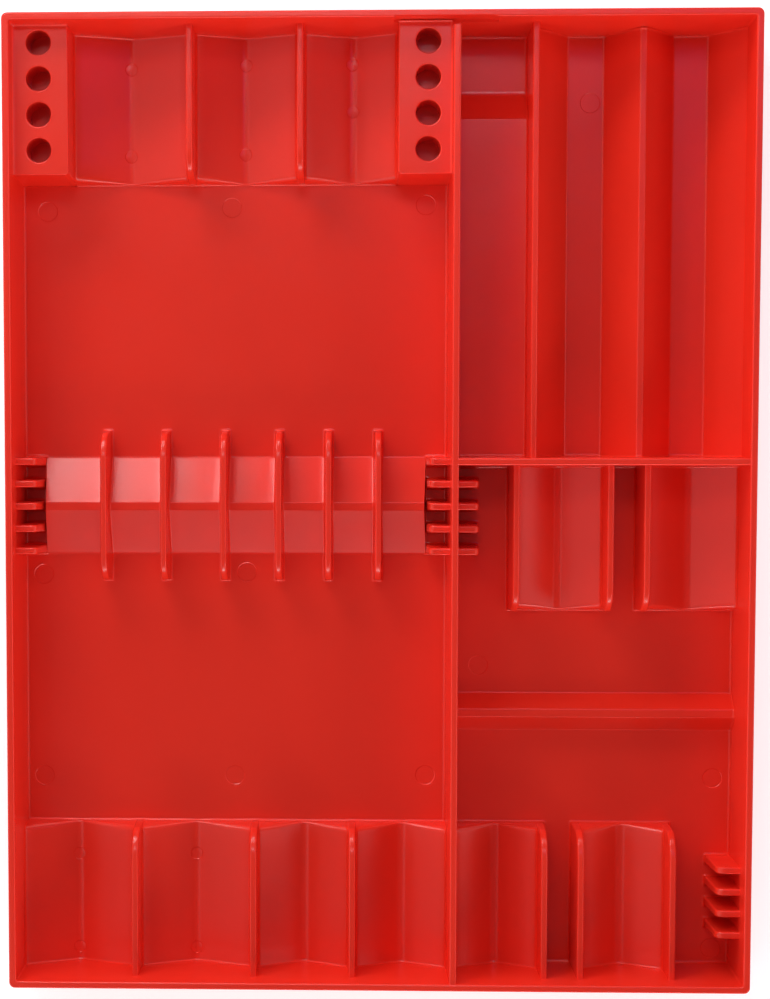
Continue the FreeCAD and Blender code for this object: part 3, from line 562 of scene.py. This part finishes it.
# %% Geometry Nodes: a root along each path
def root_tree():
    tree = bpy.data.node_groups.new("root_along_path", "GeometryNodeTree")
    for label, kind in (("Paths", "Geometry"), ("Profile", "Object"), ("Plastic", "Material")):
        tree.interface.new_socket(label, in_out="INPUT", socket_type="NodeSocket" + kind)
    tree.interface.new_socket("Roots", in_out="OUTPUT", socket_type="NodeSocketGeometry")
    nodes, links = tree.nodes, tree.links
    given = nodes.new("NodeGroupInput")
    result = nodes.new("NodeGroupOutput")
    profile = nodes.new("GeometryNodeObjectInfo")
    profile_curve = nodes.new("GeometryNodeMeshToCurve")
    path_curve = nodes.new("GeometryNodeMeshToCurve")
    level = nodes.new("GeometryNodeSetCurveNormal")
    level.mode = "Z_UP"
    sweep = nodes.new("GeometryNodeCurveToMesh")
    sweep.inputs["Fill Caps"].default_value = True
    real = nodes.new("GeometryNodeRealizeInstances")
    plastic = nodes.new("GeometryNodeSetMaterial")
    links.new(given.outputs["Profile"], profile.inputs["Object"])
    links.new(profile.outputs["Geometry"], profile_curve.inputs["Mesh"])
    links.new(given.outputs["Paths"], path_curve.inputs["Mesh"])
    links.new(path_curve.outputs["Curve"], level.inputs["Curve"])
    links.new(level.outputs["Curve"], sweep.inputs["Curve"])
    links.new(profile_curve.outputs["Curve"], sweep.inputs["Profile Curve"])
    links.new(sweep.outputs["Mesh"], real.inputs["Geometry"])
    links.new(real.outputs["Geometry"], plastic.inputs["Geometry"])
    links.new(given.outputs["Plastic"], plastic.inputs["Material"])
    links.new(plastic.outputs["Geometry"], result.inputs["Roots"])
    return tree


def mesh_by_nodes(name, tree, base_mesh, inputs):
    """Runs a tree on a mesh and keeps what it makes as a plain mesh."""
    source = bpy.data.objects.new(name + "_source", base_mesh)
    bpy.context.scene.collection.objects.link(source)
    modifier = source.modifiers.new(name, "NODES")
    modifier.node_group = tree
    identifiers = {item.name: item.identifier for item in tree.interface.items_tree if item.in_out == "INPUT"}
    for label, what in inputs.items():
        modifier[identifiers[label]] = what
    made = bpy.data.meshes.new_from_object(source.evaluated_get(bpy.context.evaluated_depsgraph_get()))
    source.modifiers.remove(modifier)
    bpy.data.objects.remove(source)
    shape = bmesh.new()
    shape.from_mesh(made)
    bmesh.ops.remove_doubles(shape, verts=shape.verts, dist=0.000002)
    bmesh.ops.recalc_face_normals(shape, faces=shape.faces)
    open_edges = shaded(shape, sharp_turn)
    shape.to_mesh(made)
    shape.free()
    made.name = name
    print(name, "faces:", len(made.polygons), "open edges:", open_edges)
    return made


def root_profile(radius):
    """The cross-section of a root: its corner sits a hair inside the wall and the floor."""
    corner = [(-0.1, sunk), (radius, sunk)]
    arc = [(radius * (1 - math.sin(t)), -radius * (1 - math.cos(t)))
           for t in np.linspace(0, math.pi / 2, 6)]
    points = corner + arc + [(-0.1, -radius)]
    mesh = bpy.data.meshes.new("root_profile")
    edges = [(i, (i + 1) % len(points)) for i in range(len(points))]
    mesh.from_pydata([(x * MM, y * MM, 0) for x, y in points], edges, [])
    thing = bpy.data.objects.new("root_profile", mesh)
    bpy.context.scene.collection.objects.link(thing)
    return thing


paths = []


def foot_loop(low, high):
    """A closed path round a foot, anticlockwise, with small round corners."""
    corner = 0.25
    corners = (((high[0], low[1]), -90), ((high[0], high[1]), 0), ((low[0], high[1]), 90),
               ((low[0], low[1]), 180))
    points = []
    for (x, y), first in corners:
        inner_x = x - corner if x == high[0] else x + corner
        inner_y = y - corner if y == high[1] else y + corner
        for turn in (0, 45, 90):
            angle = math.radians(first + turn)
            points.append((inner_x + corner * math.cos(angle), inner_y + corner * math.sin(angle), floor_top))
    paths.append((points, True))


# Round every rib that stands on the open floor
for row, count in (("rear", 2), ("front", 3), ("corner", 3), ("middle", 3), ("shaft", 6)):
    for number in range(1, count + 1):
        foot_loop(*box_mm(f"{row}_rib_{number}"))
# Round the teeth, five or four to a comb
thick = 2.8 + 2 * plate_slope * (block_top - floor_top)
for node, count in (("left_comb", 5), ("centre_left_comb", 5), ("centre_right_comb", 4),
                    ("right_wall_comb", 4)):
    low, high = box_mm(node)
    for tooth in range(count):
        middle = low[1] + thick / 2 + tooth * (high[1] - low[1] - thick) / (count - 1)
        foot_loop((low[0], middle - thick / 2), (high[0], middle + thick / 2))
# Along the walls, the dividers and the open ends of blocks and beds
left_x, right_x = side_face("left_wall", 1)(floor_top), side_face("right_wall", -1)(floor_top)
divider_low, divider_high = box_mm("centre_divider")
cross_low, cross_high = box_mm("cross_divider")
channel_low = box_mm("channel_divider")[0]
block_right, block_left = box_mm("left_bit_block")[1][0], box_mm("right_bit_block")[0][0]
block_front, beside_block, row_rear = 133.7, 133.6, -133.5
front_y, rear_y = front_wall_face(floor_top), rear_wall_face(floor_top)
for start, end in [
    ((left_x, row_rear), (left_x, beside_block)),
    ((divider_low[0], beside_block), (divider_low[0], row_rear)),
    ((divider_high[0], row_rear), (divider_high[0], cross_low[1])),
    ((right_x, cross_low[1]), (right_x, front_y)),
    ((right_x, front_y), (left_x, front_y)),
    ((divider_high[0], cross_low[1]), (right_x, cross_low[1])),
    ((right_x, cross_high[1]), (divider_high[0], cross_high[1])),
    ((divider_high[0], rear_y), (right_x, rear_y)),
    ((divider_high[0], cross_high[1]), (divider_high[0], rear_y)),
    ((channel_low[0], rear_y), (channel_low[0], cross_high[1])),
    ((block_right, block_front), (left_x, block_front)),
    ((divider_low[0], block_front), (block_left, block_front)),
]:
    paths.append(([(*start, floor_top), (*end, floor_top)], False))
# On the tops of the two blocks, against the walls behind them
left_high = side_face("left_wall", 1)(block_top)
centre_high = side_face("centre_divider", -1)(block_top)
rear_high = rear_wall_face(block_top)
head_front = 135.5
for start, end in [
    ((left_high, head_front), (left_high, rear_high)),
    ((left_high, rear_high), (block_right - 0.6, rear_high)),
    ((centre_high, rear_high), (centre_high, head_front)),
    ((block_left + 0.6, rear_high + 0.6), (centre_high, rear_high + 0.6)),
]:
    paths.append(([(*start, block_top), (*end, block_top)], False))

points, edges = [], []
for line, closed in paths:
    first = len(points)
    points += [tuple(c * MM for c in point) for point in line]
    edges += [(first + i, first + i + 1) for i in range(len(line) - 1)]
    if closed:
        edges.append((len(points) - 1, first))
path_mesh = bpy.data.meshes.new("root_paths")
path_mesh.from_pydata(points, edges, [])
profile = root_profile(root)
roots_mesh = mesh_by_nodes("floor_roots", root_tree(), path_mesh,
                           {"Profile": profile, "Plastic": red_plastic})
floor_roots = bpy.data.objects.new("floor_roots", roots_mesh)
bpy.context.scene.collection.objects.link(floor_roots)
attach(floor_roots, "root")
bpy.data.objects.remove(profile)
print("paths:", len(paths))

# %% [markdown]
# ## Ejector marks
#
# Pins push a moulding out of its mould, and each pin leaves a faint round mark, a disc pressed about a
# fifth of a millimetre into the surface. The light catches its leaning side as a thin line. The beds
# got theirs when they were made. On the floor a disc is instanced on a dozen points, and all of them
# are taken out of a copy of the floor plate in one cut.

# %% Geometry Nodes: discs on points
def mark_tree():
    tree = bpy.data.node_groups.new("ejector_marks", "GeometryNodeTree")
    for label, kind in (("Places", "Geometry"), ("Radius", "Float"), ("Depth", "Float"),
                        ("Plastic", "Material")):
        tree.interface.new_socket(label, in_out="INPUT", socket_type="NodeSocket" + kind)
    tree.interface.new_socket("Marks", in_out="OUTPUT", socket_type="NodeSocketGeometry")
    nodes, links = tree.nodes, tree.links
    given = nodes.new("NodeGroupInput")
    result = nodes.new("NodeGroupOutput")
    disc = nodes.new("GeometryNodeMeshCone")
    disc.inputs["Vertices"].default_value = 48
    # The disc is twice as thick as the mark is deep, and its side leans outwards
    thick = nodes.new("ShaderNodeMath")
    thick.operation = "MULTIPLY"
    thick.inputs[1].default_value = 2.0
    lean = nodes.new("ShaderNodeMath")
    lean.operation = "MULTIPLY"
    lean.inputs[1].default_value = mark_lean
    foot = nodes.new("ShaderNodeMath")
    foot.operation = "SUBTRACT"
    head = nodes.new("ShaderNodeMath")
    head.operation = "ADD"
    spread = nodes.new("GeometryNodeInstanceOnPoints")
    real = nodes.new("GeometryNodeRealizeInstances")
    plastic = nodes.new("GeometryNodeSetMaterial")
    links.new(given.outputs["Depth"], thick.inputs[0])
    links.new(given.outputs["Depth"], lean.inputs[0])
    for wide in (foot, head):
        links.new(given.outputs["Radius"], wide.inputs[0])
        links.new(lean.outputs[0], wide.inputs[1])
    links.new(foot.outputs[0], disc.inputs["Radius Bottom"])
    links.new(head.outputs[0], disc.inputs["Radius Top"])
    links.new(thick.outputs[0], disc.inputs["Depth"])
    links.new(given.outputs["Places"], spread.inputs["Points"])
    links.new(disc.outputs["Mesh"], spread.inputs["Instance"])
    links.new(spread.outputs["Instances"], real.inputs["Geometry"])
    links.new(real.outputs["Geometry"], plastic.inputs["Geometry"])
    links.new(given.outputs["Plastic"], plastic.inputs["Material"])
    links.new(plastic.outputs["Geometry"], result.inputs["Marks"])
    return tree


# Places in mm from the tray's left front corner
floor_marks_at = [(13.5, 322.3), (91, 323.7), (172.1, 324.6), (10.7, 169.9), (97.1, 170.9), (10.5, 83.8),
                  (91.9, 84.2), (172.8, 84.6), (195, 131.7), (294.2, 83.9), (294.3, 11), (240, 366.3)]
corner_x, corner_y = 152.5, 199
places = bpy.data.meshes.new("mark_places")
places.from_pydata([((x - corner_x) * MM, (y - corner_y) * MM, (floor_top - mark_depth) * MM)
                    for x, y in floor_marks_at], [], [])
discs = mesh_by_nodes("floor_marks", mark_tree(), places,
                      {"Radius": 4.2 * MM, "Depth": mark_depth * MM, "Plastic": red_plastic})
cutter = bpy.data.objects.new("floor_marks", discs)
bpy.context.scene.collection.objects.link(cutter)
plate_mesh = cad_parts["floor_plate"].data.copy()
shape = bmesh.new()
shape.from_mesh(plate_mesh)
bmesh.ops.remove_doubles(shape, verts=shape.verts, dist=0.000004)
shape.to_mesh(plate_mesh)
shape.free()
marked_floor = bpy.data.objects.new("marked_floor", plate_mesh)
bpy.context.scene.collection.objects.link(marked_floor)
press_marks(marked_floor, cutter)
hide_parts("floor_plate")
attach(marked_floor, "root")

# %% [markdown]
# ## Floor and light
#
# The tray lies on white paper. The paper glows a little for the camera alone, so that it stays white in
# the picture while the tray's shadow still falls on it. The room is bright in a low band up to about 17
# degrees over the horizon and dim above it: the walls and ribs get light from all sides, and the glossy
# floor, which mirrors what is overhead, stays a deep red. Renders under one lamp at a time, weighed
# against the photograph, gave the lamps' first strengths, which were then set one by one: a window behind
# the tray for the pale slopes that face the rear, a band in front for the lips of the beds, soft lamps
# on every side, and a weak blue panel overhead for the crimson sheen in the deep places.

# %% Studio
floor_mesh = bpy.data.meshes.new("studio_floor")
side, paper_z = 4.0, -0.0002
floor_mesh.from_pydata([(-side, -side, paper_z), (side, -side, paper_z), (side, side, paper_z),
                        (-side, side, paper_z)], [], [(0, 1, 2, 3)])
studio_floor = bpy.data.objects.new("studio_floor", floor_mesh)
bpy.context.scene.collection.objects.link(studio_floor)
paper = bpy.data.materials.new("white_paper")
paper.use_nodes = True
surface = paper.node_tree.nodes["Principled BSDF"]
surface.inputs["Base Color"].default_value = (0.80, 0.80, 0.80, 1)
surface.inputs["Roughness"].default_value = 0.9
surface.inputs["Emission Color"].default_value = (1, 1, 1, 1)
seen = paper.node_tree.nodes.new("ShaderNodeLightPath")
glow = paper.node_tree.nodes.new("ShaderNodeMath")
glow.operation = "MULTIPLY"
glow.inputs[1].default_value = 0.55
paper.node_tree.links.new(seen.outputs["Is Camera Ray"], glow.inputs[0])
paper.node_tree.links.new(glow.outputs[0], surface.inputs["Emission Strength"])
floor_mesh.materials.append(paper)

world = bpy.data.worlds.new("soft_room")
world.use_nodes = True
sky = world.node_tree
direction = sky.nodes.new("ShaderNodeTexCoord")
height = sky.nodes.new("ShaderNodeSeparateXYZ")
bands = sky.nodes.new("ShaderNodeValToRGB")
bands.color_ramp.elements[0].color = (1, 1, 1, 1)
bands.color_ramp.elements[1].color = (0.10, 0.10, 0.10, 1)
for place, level in ((0.3, 1.0), (0.42, 0.06), (0.88, 0.06)):
    bands.color_ramp.elements.new(place).color = (level, level, level, 1)
sky.links.new(direction.outputs["Generated"], height.inputs["Vector"])
sky.links.new(height.outputs["Z"], bands.inputs["Fac"])
sky.links.new(bands.outputs["Color"], sky.nodes["Background"].inputs["Color"])
sky.nodes["Background"].inputs["Strength"].default_value = 1.5
bpy.context.scene.world = world


def lamp(name, azimuth, elevation, width, depth, watts, distance=1.6, colour=(1, 1, 1)):
    """A flat lamp that faces the middle of the tray. Its azimuth runs from the tray's right to its rear."""
    a, e = math.radians(azimuth), math.radians(elevation)
    place = (distance * math.cos(e) * math.cos(a), distance * math.cos(e) * math.sin(a),
             distance * math.sin(e))
    data = bpy.data.lights.new(name, "AREA")
    data.shape = "RECTANGLE"
    data.size = width
    data.size_y = depth
    data.energy = watts
    data.color = colour
    thing = bpy.data.objects.new(name, data)
    thing.location = place
    thing.rotation_euler = (-Vector(place)).to_track_quat("-Z", "Y").to_euler()
    bpy.context.scene.collection.objects.link(thing)


lamp("rear_window", 117, 27, 0.4, 0.18, 1.9, 0.8)
lamp("rear_strip", 100, 13, 0.6, 0.06, 1.5, 1.2)
lamp("front_right_light", 312, 26, 0.6, 0.2, 3.0)
lamp("front_light", 270, 25, 1.0, 0.3, 0.8)
lamp("front_strip", 270, 13, 0.6, 0.06, 2.2, 1.2)
lamp("front_left_light", 225, 25, 1.0, 0.5, 2.0)
lamp("high_right_light", 0, 40, 0.9, 0.6, 1.6)
lamp("high_window", 96, 64, 0.45, 0.2, 1.5, 1.3)
lamp("high_left_light", 180, 54, 0.9, 0.9, 1.6)
lamp("high_corner_light", 135, 50, 0.9, 0.9, 1.4)
lamp("high_front_light", 225, 50, 0.9, 0.9, 0.8)
lamp("blue_panel", 62, 64, 0.9, 0.5, 1.2, 1.67, (0.25, 0.3, 1.0))
bpy.context.scene.view_settings.view_transform = "Standard"
